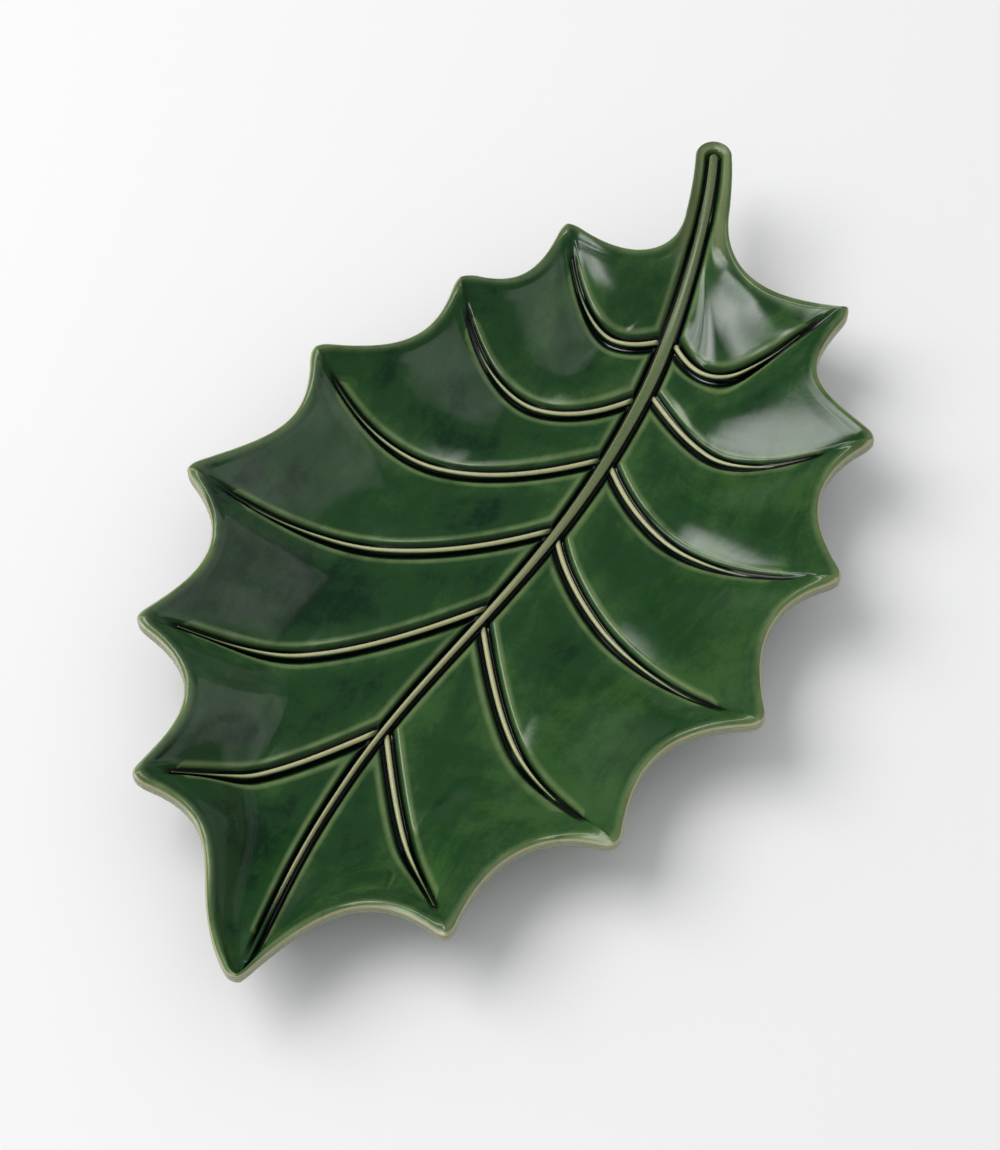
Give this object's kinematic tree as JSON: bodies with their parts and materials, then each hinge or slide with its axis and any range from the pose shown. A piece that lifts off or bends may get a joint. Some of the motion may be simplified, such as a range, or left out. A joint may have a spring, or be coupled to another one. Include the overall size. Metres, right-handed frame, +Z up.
{
  "type": "leaf shaped plate",
  "caption": "Long serving plate shaped like a spined holly leaf with a short stem, dished, with raised veins in grooves and a low foot ring underneath.",
  "frame": {"origin": "middle of the plate's outline, on the plane that the foot ring rests on", "axes": "+Y along the leaf from its tip towards the end of the stem, +Z up out of the dish, +X to the right seen from above with the stem away from the viewer"},
  "size_m": [0.237, 0.4014, 0.039],
  "materials": {
    "green_glaze": "gloss",
    "midrib_glaze": "gloss",
    "vein_glaze": "gloss",
    "bare_clay": "matte"
  },
  "bodies": {
    "root": {"leaf_blade": "green_glaze", "midrib": "midrib_glaze", "left_vein_1": "vein_glaze", "left_vein_2": "vein_glaze", "left_vein_3": "vein_glaze", "left_vein_4": "vein_glaze", "left_vein_5": "vein_glaze", "left_vein_6": "vein_glaze", "right_vein_1": "vein_glaze", "right_vein_2": "vein_glaze", "right_vein_3": "vein_glaze", "right_vein_4": "vein_glaze", "right_vein_5": "vein_glaze", "right_vein_6": "vein_glaze", "foot_ring": "bare_clay"}
  },
  "joints": []
}
